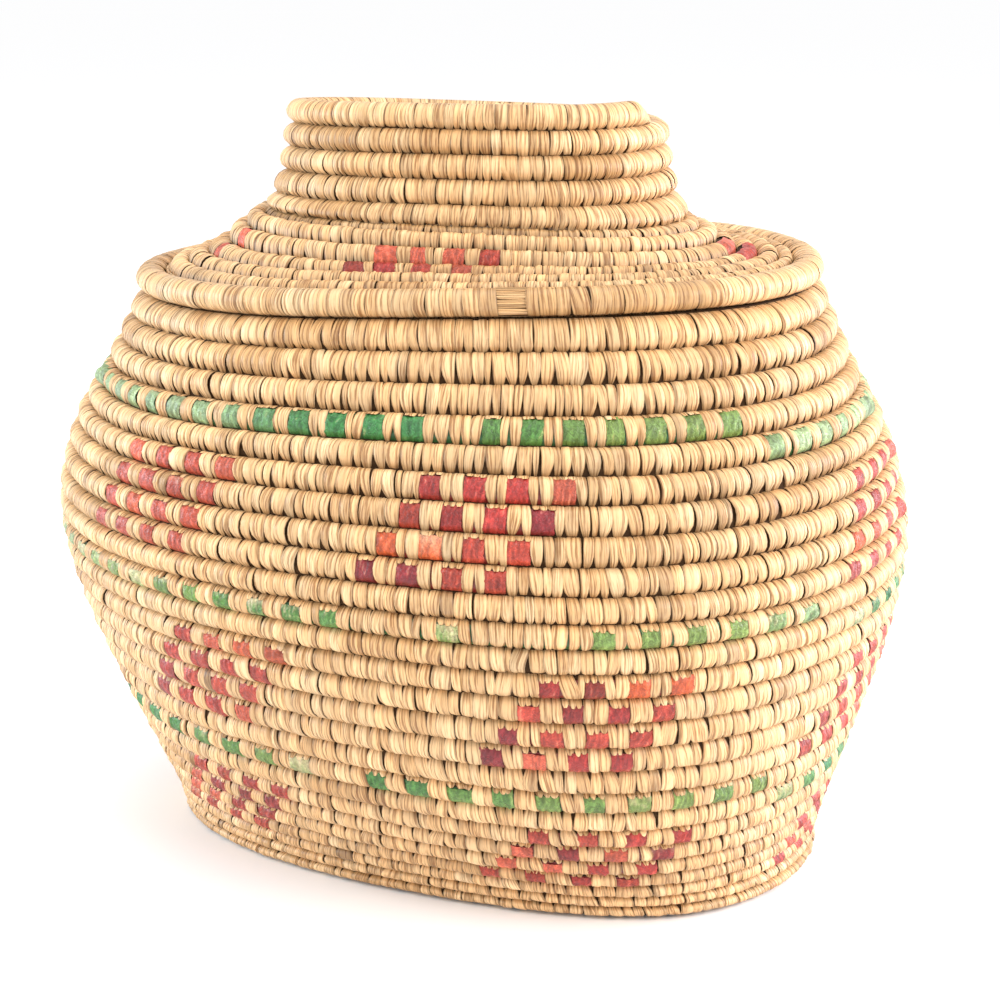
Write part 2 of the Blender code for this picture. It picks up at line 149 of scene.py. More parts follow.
# Colours, linear
STRAW = (0.745, 0.46, 0.216)
STRAW_PALE = (0.88, 0.665, 0.40)
STRAW_TAN = (0.55, 0.315, 0.13)
STRAW_BROWN = (0.25, 0.14, 0.065)
CRIMSON = (0.44, 0.038, 0.030)
RED = (0.50, 0.060, 0.034)
ORANGE = (0.68, 0.12, 0.036)
SALMON = (0.70, 0.13, 0.066)
BURGUNDY = (0.27, 0.024, 0.028)
# Painted highlight, mixed onto the ridges of the gut's folds
GUT_PAINTED_HIGHLIGHT = (0.75, 0.43, 0.26)
GREEN_DEEP = (0.038, 0.22, 0.060)
GREEN = (0.085, 0.24, 0.045)
GREEN_LIGHT = (0.24, 0.34, 0.080)
GREEN_MINT = (0.38, 0.50, 0.25)

# Green bands: the row and angle where each starts, the spacing, width and first place of its squares, how
# worn it is, the stretches in degrees that straw covers, the angle and spacing of a last run of squares, and
# the angles of squares with a loose side and how far it stands out in millimetres, the left one if negative
BAND_TURN = 357.0
BANDS = {
    "upper": {
        "start": (21, 321), "pitch": 10.47 * MM, "width": 5.2 * MM, "first": 1.85 * MM, "worn": 0.1,
        "bare": [(274, 277)], "loose": [(204, -2.6), (357, 2.6)],
    },
    "middle": {
        "start": (14, 338), "pitch": 10.94 * MM, "width": 5.4 * MM, "first": 9.9 * MM, "worn": 0.6,
        "bare": [(271, 280), (284, 296)], "tail": (297.8, 12.2 * MM),
    },
    "lower": {
        "start": (7, 336), "pitch": 12.12 * MM, "width": 6.0 * MM, "first": 0.9 * MM, "worn": 0.3,
        "bare": [(263.5, 267.5)],
    },
}

# The dyes of each band at angles along it
BAND_DYES = {
    "upper": (
        (205, GREEN_MINT), (245, GREEN_MINT), (262, GREEN_DEEP), (272, GREEN_DEEP), (281, GREEN),
        (294, GREEN_LIGHT), (316, GREEN_LIGHT), (325, GREEN_MINT), (360, GREEN_MINT),
    ),
    "middle": (
        (210, GREEN_MINT), (240, GREEN_LIGHT), (262, GREEN), (290, GREEN_LIGHT), (320, GREEN_LIGHT),
        (335, GREEN_MINT), (350, GREEN_DEEP),
    ),
    "lower": (
        (215, GREEN_DEEP), (250, GREEN), (262, GREEN_LIGHT), (272, GREEN), (305, GREEN_LIGHT),
        (330, GREEN_LIGHT), (350, GREEN_DEEP),
    ),
}

# Motifs: the row and angle of the middle of each top strip, the spacing of its squares in millimetres and
# how faded its dye is, then how far in degrees each next strip is set back
MOTIFS = {
    "upper": [
        (20, 246, 11.3, 0.55), (20, 281, 11.5, 0.0), (19, 352, 11.5, 0.35),
        (19, 409, 11.5, 0.2), (20, 105, 11.5, 0.0), (20, 174, 11.5, 0.4),
    ],
    "middle": [
        (13, 258, 10.5, 0.25), (13, 301, 11.5, 0.0), (12, 356, 11.5, 0.35),
        (12, 423, 11.5, 0.2), (13, 111, 11.5, 0.0), (13, 184, 11.5, 0.2),
    ],
    "lower": [
        (6, 250, 10.8, 0.2), (6, 301, 13.0, 0.1), (5, 366, 12.0, 0.2),
        (5, 432, 12.0, 0.1), (6, 111, 12.0, 0.1), (6, 181, 12.0, 0.2),
    ],
}
MOTIF_SLANTS = {"upper": 1.2, "middle": 2.4, "lower": 3.3}

# The two dyes of each strip of a motif, from the top, and the square where the second starts. This share of
# squares takes another red
OTHER_RED_SHARE = 0.15
STRIP_DYES = {
    "upper": ((CRIMSON, SALMON, 3), (CRIMSON, BURGUNDY, 3), (ORANGE, RED, 2), (BURGUNDY, RED, 2)),
    "middle": ((CRIMSON, ORANGE, 2), (CRIMSON, RED, 3), (BURGUNDY, RED, 1), (BURGUNDY, CRIMSON, 1)),
    "lower": ((RED, CRIMSON, 2), (SALMON, BURGUNDY, 1), (SALMON, CRIMSON, 2), (RED, RED, 2)),
}
LID_DYES = {6: (SALMON, RED, 2), 7: (RED, SALMON, 3)}

# Squares on the lid's shoulder: the row, the angle of their middle, their spacing in degrees, how many there
# are and their width
LID_MOTIFS = (
    (6, 268.6, 4.0, 4, LID_SQUARE_WIDTH),
    (7, 265.4, 4.1, 4, LID_SQUARE_WIDTH),
    (6, 356.0, 8.0, 2, 8.0 * MM),
    (7, 357.0, 8.4, 3, 8.5 * MM),
    (6, 213.5, 9.0, 1, LID_SQUARE_WIDTH),
    (7, 209.5, 9.0, 1, LID_SQUARE_WIDTH),
    (6, 89.0, 4.0, 4, LID_SQUARE_WIDTH),
    (7, 86.5, 4.0, 4, LID_SQUARE_WIDTH),
)

# Wear: the ring, motif and even strips whose last square has a loose side, the angles where the bundle of
# the lid's rim lies bare, and places of browner stitches on the wall, their reach and how brown they are
LOOSE_MOTIF = ("upper", 3, 0)
LOOSE_MOTIF_REACH = 2.2 * MM
BARE_RIM = (275.4, 278.3)
BROWN_PLACES = (
    (25, 246.5, 3.0 * MM, 0.55), (25, 254.8, 3.5 * MM, 0.4), (24, 268.5, 4.0 * MM, 0.3),
    (19, 310.5, 7.0 * MM, 0.5), (19, 320.0, 4.0 * MM, 0.3), (16, 307.0, 6.0 * MM, 0.4),
)


def mix(low, high, share):
    return low + (high - low) * share


def drift(foot, middle, mouth, level):
    """A value that passes smoothly from the foot's, through the middle's, to the mouth's."""
    near = 1 - np.abs(1 - 2 * level)
    end = np.where(level < 0.5, foot, mouth)
    return mix(end, middle, near) + (near**3 - near) * (foot - 2 * middle + mouth) / 4


def oval_point(half_length, height, angle, level, oval, lean):
    """Points on rings of the basket. Level runs from 0 at the foot to 1 at the mouth."""
    half_width = half_length - oval
    cos, sin = np.cos(np.radians(angle)), np.sin(np.radians(angle))
    boxiness = FOOT_BOXINESS * (MOUTH_BOXINESS / FOOT_BOXINESS) ** level
    x = oval * np.tanh(boxiness * cos) / np.tanh(boxiness) + half_width * cos
    bend = MOUTH_BEND * level**6 * np.clip(half_length * cos / MOUTH_HALF_LENGTH, 0, None) ** 3
    dip = MOUTH_DIP * level**3 * (1 + half_width * sin / MOUTH_HALF_WIDTH) / 2
    y = half_width * sin * (1 + EGG * cos) - bend
    turn = np.radians(drift(FOOT_TURN, MIDDLE_TURN, MOUTH_TURN, level))
    shift_x, shift_y = (drift(*values, level) for values in zip(FOOT_SHIFT, MIDDLE_SHIFT, MOUTH_SHIFT))
    x, y = x * np.cos(turn) - y * np.sin(turn), x * np.sin(turn) + y * np.cos(turn)
    return np.stack(np.broadcast_arrays(x + shift_x, y + shift_y, height + lean * x - dip), axis=-1)


class Outline:
    """A smooth outline through (row, half-length, height) stations, with its outward direction."""

    def __init__(self, stations, flat_ends=0.0, outward=1.0):
        rows, lengths, heights = (np.array(values, float) for values in zip(*stations))
        steps = np.diff(rows)
        self.rows = np.linspace(rows[0], rows[-1], 2001)
        piece = np.clip(np.searchsorted(rows, self.rows, side="right") - 1, 0, len(steps) - 1)
        share = (self.rows - rows[piece]) / steps[piece]
        self.length, self.height = (self.smooth(v, steps, piece, share) for v in (lengths, heights))
        along, up = np.gradient(self.length), np.gradient(self.height)
        size = np.hypot(along, up)
        self.out, self.rise = outward * up / size, -outward * along / size
        if flat_ends:
            inner = np.clip(np.minimum(self.rows, rows[-1] - self.rows) / flat_ends, 0, 1)
            self.out, self.rise = mix(1.0, self.out, inner), self.rise * inner

    @staticmethod
    def smooth(values, steps, piece, share):
        slopes = np.diff(values) / steps
        inner = (steps[1:] * slopes[:-1] + steps[:-1] * slopes[1:]) / (steps[1:] + steps[:-1])
        ends = 1.5 * slopes[0] - 0.5 * inner[0], 1.5 * slopes[-1] - 0.5 * inner[-1]
        tangents = np.concatenate([[ends[0]], inner, [ends[1]]])
        low, high = values[piece], values[piece + 1]
        rise_low, rise_high = tangents[piece] * steps[piece], tangents[piece + 1] * steps[piece]
        return (
            (2 * share**3 - 3 * share**2 + 1) * low
            + (share**3 - 2 * share**2 + share) * rise_low
            + (3 * share**2 - 2 * share**3) * high
            + (share**3 - share**2) * rise_high
        )

    def at(self, row, depth):
        length, height, out, rise = (
            np.interp(row, self.rows, values) for values in (self.length, self.height, self.out, self.rise)
        )
        return length + depth * out, height + depth * rise


def wall_outline():
    """Stations at shares of the rows below and above the belly, with shares of the way out and up."""
    foot, belly, mouth = FOOT_HALF_LENGTH, BELLY_HALF_LENGTH, MOUTH_HALF_LENGTH
    upper_rows = BODY_ROWS - BELLY_ROW
    lower = [(0.12, 0.02, 0.077), (0.3, 0.2, 0.22), (0.53, 0.545, 0.456), (0.765, 0.91, 0.743)]
    upper = [(0.33, 0.22, 0.335), (0.67, 0.62, 0.652)]
    stations = [(0, foot, 0.0)]
    for row_share, out_share, up_share in lower:
        stations.append((BELLY_ROW * row_share, mix(foot, belly, out_share), BELLY_HEIGHT * up_share))
    stations.append((BELLY_ROW, belly, BELLY_HEIGHT))
    for row_share, in_share, up_share in upper:
        station = BELLY_ROW + upper_rows * row_share
        stations.append((station, mix(belly, mouth, in_share), mix(BELLY_HEIGHT, BODY_HEIGHT, up_share)))
    stations.append((BODY_ROWS, mouth, BODY_HEIGHT))
    return Outline(stations, flat_ends=FLAT_END_ROWS)


def shoulder_outline():
    """The lid's outline: a level floor, a steep slope below the collar, then a gentler one to the rim."""
    start, edge = COLLAR_OVAL + START_BUNDLE_RADIUS, FLOOR_HALF_LENGTH
    level = mix(start, edge, (FLOOR_ROWS - 1) / FLOOR_ROWS)
    stations = [(0, start, FLOOR_HEIGHT), (FLOOR_ROWS - 1, level, FLOOR_HEIGHT)]
    slope = [(0.0, 0.0, 0.03), (0.2, 0.207, 0.30), (0.4, 0.387, 0.62), (0.6, 0.594, 0.774), (0.8, 0.8, 0.887)]
    for row_share, out_share, down_share in slope + [(1.0, 1.0, 1.0)]:
        half_length = mix(edge, SHOULDER_HALF_LENGTH, out_share)
        height = mix(FLOOR_HEIGHT, SHOULDER_EDGE_HEIGHT, down_share)
        stations.append((FLOOR_ROWS + SHOULDER_ROWS * row_share, half_length, height))
    return Outline(stations, outward=-1.0)


WALL = wall_outline()
SHOULDER = shoulder_outline()


# Places of the coils: each takes a row, a depth out from the grooves and an angle

def wall_place(row, depth, angle):
    half_length, height = WALL.at(row, depth)
    level = np.clip(row / BODY_ROWS, 0, 1)
    oval = drift(FOOT_OVAL, MIDDLE_OVAL, MOUTH_OVAL, level)
    return oval_point(half_length, height, angle, level, oval, drift(0.0, MIDDLE_LEAN, MOUTH_LEAN, level))


def flange_outer():
    return MOUTH_HALF_LENGTH + CREST - COIL_THICKNESS - FLANGE_CLEARANCE


def lid_place(half_length, height, angle):
    start = flange_outer() - 1.2 * COIL_THICKNESS
    share = np.clip((start - half_length) / (start - COLLAR_FOOT_HALF_LENGTH), 0, 1)
    lean = mix(MOUTH_LEAN, COLLAR_LEAN, np.clip((SHOULDER_HALF_LENGTH - half_length) / LEAN_FADE, 0, 1))
    return oval_point(half_length, height, angle, 1.0, mix(MOUTH_OVAL, COLLAR_OVAL, share), lean)


def disc_place(row, depth, angle):
    return lid_place(*SHOULDER.at(row, depth), angle)


def rim_place(row, depth, angle):
    middle = RIM_HALF_LENGTH - RIM_RADIUS
    return lid_place(middle + depth, BODY_HEIGHT + SEAT_GAP + row * RIM_HEIGHT, angle)


def flange_place(row, depth, angle):
    height = FLANGE_TOP - FLANGE_DEPTH * (1 - row / FLANGE_ROWS)
    return lid_place(flange_outer() - CREST + depth, height, angle)


def collar_place(row, depth, angle):
    flare = COLLAR_FLARE * np.clip(1 - row / COLLAR_FLARE_ROWS, 0, None) ** 2
    half_length = mix(COLLAR_FOOT_HALF_LENGTH, COLLAR_TOP_HALF_LENGTH, row / COLLAR_ROWS) + flare
    height = FLOOR_HEIGHT + SEAT_GAP + row * COLLAR_ROW_HEIGHT
    return lid_place(half_length + depth, height, angle)


def base_place(row, depth, angle):
    """The base's spiral fills the foot of the wall, from a straight starting bundle outwards."""
    height = BASE_THICKNESS + depth
    inner = COIL_THICKNESS - CREST + SEAT_GAP
    inner_length, inner_height = WALL.at(WALL.rows, -inner)
    near_foot = slice(400)
    wall_row = np.interp(height, inner_height[near_foot], WALL.rows[near_foot])
    edge = np.interp(wall_row, WALL.rows, inner_length)
    level = wall_row / BODY_ROWS
    oval = drift(FOOT_OVAL, MIDDLE_OVAL, MOUTH_OVAL, level)
    half_length = mix(oval + START_BUNDLE_RADIUS, edge, row / BASE_ROWS)
    return oval_point(half_length, height, angle, level, oval, 0.0)


# Grooves of the coils: the rows where a row's lower and upper groove lie at an angle

def wall_grooves(row, angle):
    climb = (angle - FRONT) / TURN
    sway = GROOVE_SWAY * np.cos(np.radians(angle))
    low = row + climb - sway * (row / BODY_ROWS) ** 2
    high = row + 1 + climb - sway * ((row + 1) / BODY_ROWS) ** 2
    return np.clip(low, 0, BODY_ROWS), np.clip(high, 0, BODY_ROWS)


def spiral_grooves(rows):
    def grooves(row, angle):
        climb = (angle - FRONT) / TURN
        return np.clip(row + climb, 0, rows), np.clip(row + 1 + climb, 0, rows)

    return grooves


def ring_grooves(row, angle):
    level = np.zeros(np.broadcast(row, angle).shape)
    return row + level, row + 1 + level


def collar_grooves(row, angle):
    climb = (angle - COLLAR_END_ANGLE) / TURN + 1
    top = COLLAR_ROWS - 1 + np.clip(np.minimum(climb, (1 - climb) / COLLAR_TAPER), 0, 1)
    return np.clip(row + climb, 0, top), np.clip(row + 1 + climb, 0, top)


class Coil:
    """A coil as one long line, wound through all its rows, and its length up to each point."""

    def __init__(self, place, grooves, rows, first_angle=BACK, middle=COIL_MIDDLE, radius=COIL_RADIUS):
        self.place, self.grooves, self.rows, self.first_angle = place, grooves, rows, first_angle
        self.middle, self.radius = middle, radius
        self.wound = np.arange(TURN * rows[0], TURN * (rows[-1] + 1) + 1, 2.0)
        row, angle = self.split(self.wound)
        low, high = grooves(row, angle)
        points = place((low + high) / 2, middle + radius, angle)
        steps = np.linalg.norm(np.diff(points, axis=0), axis=1)
        self.run = np.concatenate([[0.0], np.cumsum(steps)])

    def split(self, wound):
        row = np.floor(wound / TURN)
        return row, wound - TURN * row + self.first_angle

    def wound_at(self, run):
        return np.interp(run, self.run, self.wound)

    def run_at(self, row, angle):
        return np.interp(TURN * row + angle - self.first_angle, self.wound, self.run)

    def degrees_per_metre(self, run):
        step = 3.0 * MM
        return (self.wound_at(run + step) - self.wound_at(run - step)) / (2 * step)

    def middle_at(self, row, angle):
        low, high = self.grooves(row, angle)
        return self.place((low + high) / 2, self.middle, angle)

    def plumb(self, row, angle):
        """Degrees that a line at one angle drifts along its row, from the lower groove to the upper."""
        low, high = self.grooves(row, angle)
        across = self.place(high, self.middle, angle) - self.place(low, self.middle, angle)
        along = (self.middle_at(row, angle + 1) - self.middle_at(row, angle - 1)) / 2
        return (across * along).sum(-1) / (along * along).sum(-1)

    def point(self, row, share, psi, angle, side, shrink, lift=0.0):
        """Points on the rounded rows, outside if side is 1. Share goes up a row, psi round its bundle."""
        low, high = self.grooves(row, angle)
        full = np.sqrt(np.clip(high - low, 0.0, 1.0))
        depth = self.middle + side * full * ((self.radius - shrink) * np.cos(psi) + lift)
        return self.place(mix(low, high, share), depth, angle)


WALL_COIL = Coil(wall_place, wall_grooves, range(-1, BODY_ROWS + 1))
DISC_RADIUS = LID_THICKNESS / 2
DISC_ROWS = FLOOR_ROWS + SHOULDER_ROWS
DISC_COIL = Coil(
    disc_place,
    spiral_grooves(DISC_ROWS),
    range(-1, DISC_ROWS + 1),
    middle=-DISC_RADIUS,
    radius=DISC_RADIUS,
)
BASE_COIL = Coil(
    base_place,
    spiral_grooves(BASE_ROWS),
    range(-1, BASE_ROWS + 1),
    middle=-BASE_THICKNESS / 2,
    radius=BASE_THICKNESS / 2 - 0.1 * MM,
)
RIM_COIL = Coil(rim_place, ring_grooves, range(0, 1), middle=0.0, radius=RIM_RADIUS)
FLANGE_COIL = Coil(flange_place, ring_grooves, range(0, FLANGE_ROWS))
COLLAR_COIL = Coil(
    collar_place, collar_grooves, range(-1, COLLAR_ROWS - 1), first_angle=COLLAR_END_ANGLE - TURN
)


def linked(name, data):
    made = bpy.data.objects.new(name, data)
    bpy.context.scene.collection.objects.link(made)
    return made


def add_object(name, mesh, body, nodes):
    """Makes an object that rides on a body and stands for nodes of the frame."""
    made = linked(name, mesh)
    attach(made, body)
    if nodes:
        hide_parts(*nodes)


def grid_faces(count, along, across):
    """Faces of count patches, each a grid of along by across points."""
    corner = np.arange(along - 1)[:, None] * across + np.arange(across - 1)[None, :]
    quads = np.stack([corner, corner + 1, corner + across + 1, corner + across], axis=-1).reshape(-1, 4)
    return (np.arange(count)[:, None, None] * along * across + quads[None]).reshape(-1, 4)


class Pile:
    """Collects patches, so that many make one object."""

    def __init__(self):
        self.points, self.faces, self.uv, self.tint, self.count = [], [], [], [], 0

    def add(self, points, uv, tint):
        """Adds patches of shape (count, along, across)."""
        count, along, across = points.shape[:3]
        self.faces.append(grid_faces(count, along, across) + self.count)
        self.points.append(points.reshape(-1, 3))
        self.uv.append(np.broadcast_to(uv, points.shape[:3] + (2,)).reshape(-1, 2))
        self.tint.append(np.broadcast_to(tint, points.shape).reshape(-1, 3))
        self.count += count * along * across

    def build(self, name, material, body, slot, nodes=()):
        """Makes the object, with a place in the fibre and a tint at each point."""
        points, faces, uv, tint = (np.concatenate(a) for a in (self.points, self.faces, self.uv, self.tint))
        points = points + SHIFT
        points[:, 2] = np.maximum(points[:, 2], 0.0)
        mesh = bpy.data.meshes.new(name)
        mesh.vertices.add(len(points))
        mesh.vertices.foreach_set("co", points.astype(np.float32).ravel())
        mesh.loops.add(faces.size)
        mesh.loops.foreach_set("vertex_index", faces.astype(np.int32).ravel())
        mesh.polygons.add(len(faces))
        mesh.polygons.foreach_set("loop_start", np.arange(0, faces.size, 4, dtype=np.int32))
        mesh.update(calc_edges=True)
        fibre = mesh.uv_layers.new(name="fibre")
        fibre.data.foreach_set("uv", uv[faces.ravel()].astype(np.float32).ravel())
        colours = np.ones((len(points), 4), np.float32)
        colours[:, :3] = tint
        mesh.color_attributes.new("tint", "FLOAT_COLOR", "POINT").data.foreach_set("color", colours.ravel())
        mesh.materials.append(material)
        mesh.shade_smooth()
        add_object(name, mesh, body, nodes)


def straw_tints(rng, count, run, spots=()):
    """One colour for each stitch, with paler and browner runs along the coil. Spots are browner places."""
    waves = sum(np.sin(run / length + phase) for length, phase in zip(TONE_WAVES, rng.uniform(0, 6, 3)))
    value = 1.0 + 0.03 * waves + rng.normal(0, 0.065, count)
    pale = np.clip(rng.normal(0.10, 0.19, count), 0, 0.6)[:, None]
    tan = np.clip(rng.normal(-0.10, 0.24, count) + 0.06 * waves, 0, 0.9)
    tan_runs = np.repeat(rng.random(count // TAN_RUN + 1) < TAN_SHARE, TAN_RUN)[:count]
    tan = np.maximum(tan, 0.75 * tan_runs)[:, None]
    colour = mix(np.array(STRAW), np.array(STRAW_PALE), pale)
    colour = mix(colour, np.array(STRAW_TAN), tan)
    brown = (rng.random(count) < 0.008) * rng.uniform(0.2, 0.7, count)
    for place, reach, strength in spots:
        brown = np.maximum(brown, strength * (np.abs(run - place) < reach) * rng.uniform(0.4, 1.0, count))
    return mix(colour, np.array(STRAW_BROWN), brown[:, None]) * value[:, None]


def fill(coil, blocks, width, rng):
    """Middles and widths, along the coil, of stitches that fill it between the blocks."""
    edges = [coil.run[0]]
    for start, end in sorted(blocks):
        edges += [start, end]
    edges.append(coil.run[-1])
    middles, widths = [], []
    for start, end in zip(edges[::2], edges[1::2]):
        if end - start < 0.4 * STITCH_WIDTH:
            continue
        count = max(1, round((end - start) / float(np.mean(width(np.linspace(start, end, 5))))))
        sizes = np.clip(rng.normal(1, WIDTH_SPREAD, count), 0.55, 1.6)
        sizes *= width(np.linspace(start, end, count))
        sizes *= (end - start) / sizes.sum()
        stops = start + np.cumsum(sizes)
        middles.append(stops - sizes / 2)
        widths.append(sizes)
    return np.concatenate(middles), np.concatenate(widths)


# How wide a stitch is at shares up its row, and the painted shade and highlight on it there: darker at its
# lower end down in the groove, lighter near its top. It is pinched below, as near the mouth, or squared, as
# near the foot
STITCH_SHARES = (-0.1, 0.0, 0.12, 0.3, 0.5, 0.85, 1.0)
PINCHED = (0.36, 0.54, 0.80, 0.97, 1.05, 1.05, 0.90)
SQUARED = (0.42, 0.64, 0.90, 1.03, 1.06, 1.01, 0.66)
STITCH_PAINTED_LIGHT_AND_SHADE = (0.42, 0.58, 0.84, 0.96, 1.0, 1.07, 0.95)


def stitch_profile(psi, share, style, pinch):
    """How wide stitches are at points along them: whole ones, short ends above gut, or wraps over a row."""
    if psi[0] > math.radians(SHORT_START):
        return mix(0.6, 1.06, np.clip((share - share[:, :1]) / 0.1, 0, 1) ** 0.5)
    if psi[-1] > math.radians(WRAP_END):
        ends = np.minimum(psi - psi[0], psi[-1] - psi) / math.radians(40)
        return mix(0.55, 1.02, np.clip(ends, 0, 1) ** 0.7)
    pinched = mix(1.0, np.interp(share, STITCH_SHARES, PINCHED), pinch)
    squared = mix(1.0, np.interp(share, STITCH_SHARES, SQUARED), pinch)
    return mix(pinched, squared, style)


def stitches(
    pile, coil, middles, widths, rng, style, psi_range=(-84, 80), side=1.0, flip=False, along=8, across=7,
    tip=0.07, lift=0.0, slant=0.35, loose=1.0, spots=(),
):
    """Lays stitches squarely over the coil's rows.

    Style is 0 where they are pinched, 1 where squared. Psi_range is where they start and end round the
    bundle, in degrees, and flip starts them at the upper groove. Tip is how far they reach past the groove,
    slant how far they lean in millimetres, and loose how unevenly they lie.
    """
    row, angle = coil.split(coil.wound_at(middles))
    low, high = coil.grooves(row, angle)
    keep = high - low > THIN_ROW
    style = np.broadcast_to(style, keep.shape)[keep][:, None]
    row, angle, middles, widths = (a[keep] for a in (row, angle, middles, widths))
    count = len(row)
    half = widths / 2 * coil.degrees_per_metre(middles)
    psi = np.radians(np.linspace(*psi_range, along))
    share = np.broadcast_to(0.5 + 0.5 * np.sin(psi), (count, along)).copy()
    hang = np.zeros((count, along))
    share[:, 0] -= tip * rng.uniform(0.0, 1.7, count)
    hang[:, 0] = rng.uniform(0.0, 0.35, count) * MM
    pinch = loose * rng.uniform(0.5, 1.25, (count, 1))
    wide = stitch_profile(psi, share, style, pinch) * rng.uniform(0.97, 1.05, (count, 1))
    across_at = np.sin(np.linspace(-1.35, 1.35, across)) / math.sin(1.35)
    lean = (loose * rng.normal(0, 0.15, (count, 1)) - slant * MM / widths[:, None]) * (share - 0.5)
    bow = loose * rng.normal(0, 0.07, (count, 1)) * np.cos(np.pi * (share - 0.5))
    sweep = style * np.abs(rng.normal(0, 0.9, (count, 1))) * np.clip(0.45 - share, 0, None) ** 1.5
    offset = (lean + bow + sweep)[:, :, None] * 2
    placed = (1 - share if flip else share)[:, :, None]
    upright = coil.plumb(row, angle)[:, None, None] * (placed - 0.5)
    angles = angle[:, None, None] - upright + half[:, None, None] * (wide[:, :, None] * across_at + offset)
    ridges = rng.normal(0, 0.11, (count, 1, across)) * MM
    ridges = ridges + rng.normal(0, 0.035, (count, along, across)) * MM
    ridges[:, :, [0, -1]] = 0
    drop = loose * EDGE_DROP * np.abs(across_at) ** 5
    proud = np.clip(rng.normal(0.05, 0.12, (count, 1, 1)), -0.1, 0.4) * MM
    raised = lift + proud + ridges - drop + hang[:, :, None]
    points = coil.point(row[:, None, None], placed, psi[None, :, None], angles, side, 0.0, raised)
    uv = np.empty(points.shape[:3] + (2,))
    uv[..., 0] = (across_at * 0.5 + 0.5) * (widths[:, None, None] / MM) + rng.uniform(0, 900, (count, 1, 1))
    uv[..., 1] = (share * 7.0)[:, :, None] + rng.uniform(0, 900, (count, 1, 1))
    tint = straw_tints(rng, count, middles, spots)[:, None, None, :]
    streaks = 1 + rng.normal(0, 0.09, (count, 1, across, 1))
    # Painted shade: each stitch darkens along its very side edges, where it meets its neighbours
    edges = 1 - 0.5 * np.abs(across_at)[None, None, :, None] ** 12
    # Painted shade towards each stitch's lower end and painted highlight near its top
    shade = np.interp(share, STITCH_SHARES, STITCH_PAINTED_LIGHT_AND_SHADE)[:, :, None, None]
    pile.add(points, uv, tint * shade * streaks * edges)


def crinkle(rng, count, u, v, size):
    """Small folds in dyed gut: sharp ridges in random directions."""
    folds = 0
    for _ in range(5):
        a, b, phase = rng.normal(0, 5, count), rng.normal(0, 3, count), rng.uniform(0, 6, count)
        wave = np.sin(a[:, None, None] * u + b[:, None, None] * v + phase[:, None, None])
        folds = folds + (1 - np.abs(wave)) ** 2 - 0.33
    return folds * size / 2


def low_places(middles):
    """Which places along the wall's coil lie near the foot."""
    return middles < WALL_COIL.run_at(LOW_ROW, FRONT)


def square_tops(middles):
    """How far up their row squares on the wall reach."""
    return np.where(low_places(middles), LOW_SQUARE_TOP, SQUARE_TOP)


def squares(pile, coil, middles, widths, colours, rng, top=SQUARE_TOP, flip=False, worn=0.0, flaps=()):
    """Squares of gut that show between groups of stitches, each on its row, crinkled. Flaps stand out."""
    row, angle = coil.split(coil.wound_at(middles))
    count = len(row)
    half = widths / 2 * coil.degrees_per_metre(middles)
    along, across = 13, 15
    u = np.linspace(-1, 1, across)[None, None, :]
    v = np.linspace(0, 1, along)[None, :, None]
    top = np.broadcast_to(top, count)[:, None, None]
    ragged = rng.normal(0, 0.006, (count, 1, across))
    share = mix(0.01 + ragged, rng.normal(top, 0.03, (count, 1, 1)) + ragged, v)
    psi = np.arcsin(np.clip(2 * share - 1, -0.999, 0.999))
    edge = rng.normal(0, 0.025, (count, along, 1))
    slant = rng.normal(0, 0.08, (count, 1, 1))
    placed = 1 - share if flip else share
    upright = coil.plumb(row, angle)[:, None, None] * (placed - 0.5)
    angles = angle[:, None, None] - upright + half[:, None, None] * (u * 1.03 + edge + slant * (v - 0.5))
    raised = 0.05 * MM + crinkle(rng, count, u, v, CRINKLE) - 0.25 * MM * np.abs(u) ** 6
    for index, reach in flaps:
        raised[index] += abs(reach) * ((1 + math.copysign(1, reach) * u[0]) / 2) ** 2 * (1 - 0.5 * v[0])
    points = coil.point(row[:, None, None], placed, psi, angles, 1.0, 0.0, raised)
    # Painted shade and highlight: the gut's dye is darkened and lightened along folds, and its ridges are
    # mixed towards a painted highlight
    folds = crinkle(rng, count, u, v, 0.6)[..., None]
    tint = np.asarray(colours)[:, None, None, :] * (1 + folds)
    tint = mix(tint, np.array(GUT_PAINTED_HIGHLIGHT), np.clip(1.2 * folds - 0.25, 0, 0.35))
    bare = rng.normal(-0.42, 0.25, (count, 1, 1)) + worn + 0.5 * (v - 0.8)
    bare = bare + crinkle(rng, count, u, v, 0.5 * worn + 0.2)
    tint = mix(tint, np.array(STRAW_PALE), np.clip(bare, 0, 0.85)[..., None])
    uv = np.stack(np.broadcast_arrays(u * 3 + rng.uniform(0, 900, (count, 1, 1)), v * 6 + 0 * u), axis=-1)
    pile.add(points, uv, np.clip(tint, 0, 1))


def ribbon(pile, start, end, colour):
    """The gut under the stitches of a strip on the wall, which shows in the gaps between them. Its dye is
    halved as painted shade for those shadowed gaps.
    """
    run = np.linspace(start, end, max(4, round((end - start) / RIBBON_STEP)))
    row, angle = WALL_COIL.split(WALL_COIL.wound_at(run))
    share = np.linspace(0.02, 0.86, 7)
    psi = np.arcsin(2 * share - 1)
    points = WALL_COIL.point(row[:, None], share[None], psi[None], angle[:, None], 1.0, RIBBON_DEPTH)
    # The dye is halved: painted shade in the gaps between stitches
    pile.add(points[None], np.zeros(2), np.array(colour) * 0.5)


def square_places(middle, pitch):
    """Middles of a strip's squares."""
    return middle + (np.arange(MOTIF_SQUARES) - (MOTIF_SQUARES - 1) / 2) * pitch


def red_square_colours(rng, dyes, count):
    """Reds of one strip: mostly one dye for its left squares and another for its right ones."""
    left, right, split = dyes
    colours = []
    for place in range(count):
        colour = left if place < split else right
        if rng.random() < OTHER_RED_SHARE:
            colour = (CRIMSON, RED, SALMON)[rng.integers(3)]
        colours.append(colour)
    return np.clip(np.array(colours) * rng.normal(1, 0.12, (count, 1)), 0, 1)


